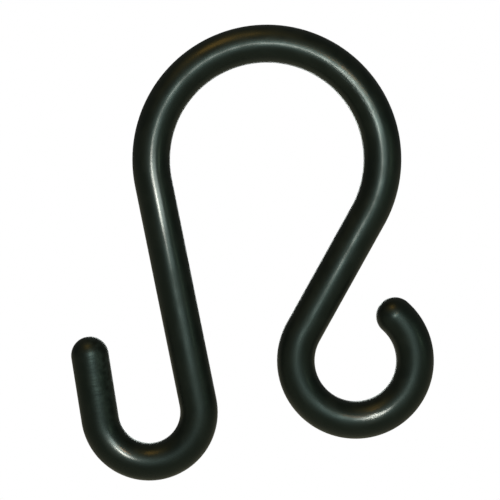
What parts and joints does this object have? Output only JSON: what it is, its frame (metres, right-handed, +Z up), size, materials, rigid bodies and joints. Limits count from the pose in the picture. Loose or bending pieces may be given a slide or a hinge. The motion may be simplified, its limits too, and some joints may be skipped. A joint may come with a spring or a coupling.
{
  "type": "bucket hook",
  "caption": "Hook of one round black bar: a large arch over a rail, a long leg ending in an open J-hook for a bail, and a short leg ending in a nearly closed curl.",
  "frame": {"origin": "rail seat: the underside of the arch at its crown, in the middle of the bar's thickness", "axes": "+Z up, along the height of the hanging hook; +X to the right of the front view, from the J-hook's side towards the curl's side; the bar's thickness lies along Y and the front faces -Y"},
  "size_m": [0.1164, 0.012, 0.146],
  "materials": {
    "black_polymer": "moulded black nylon, satin gloss, with fine handling marks"
  },
  "bodies": {
    "root": {"hook": "black_polymer"}
  },
  "joints": []
}
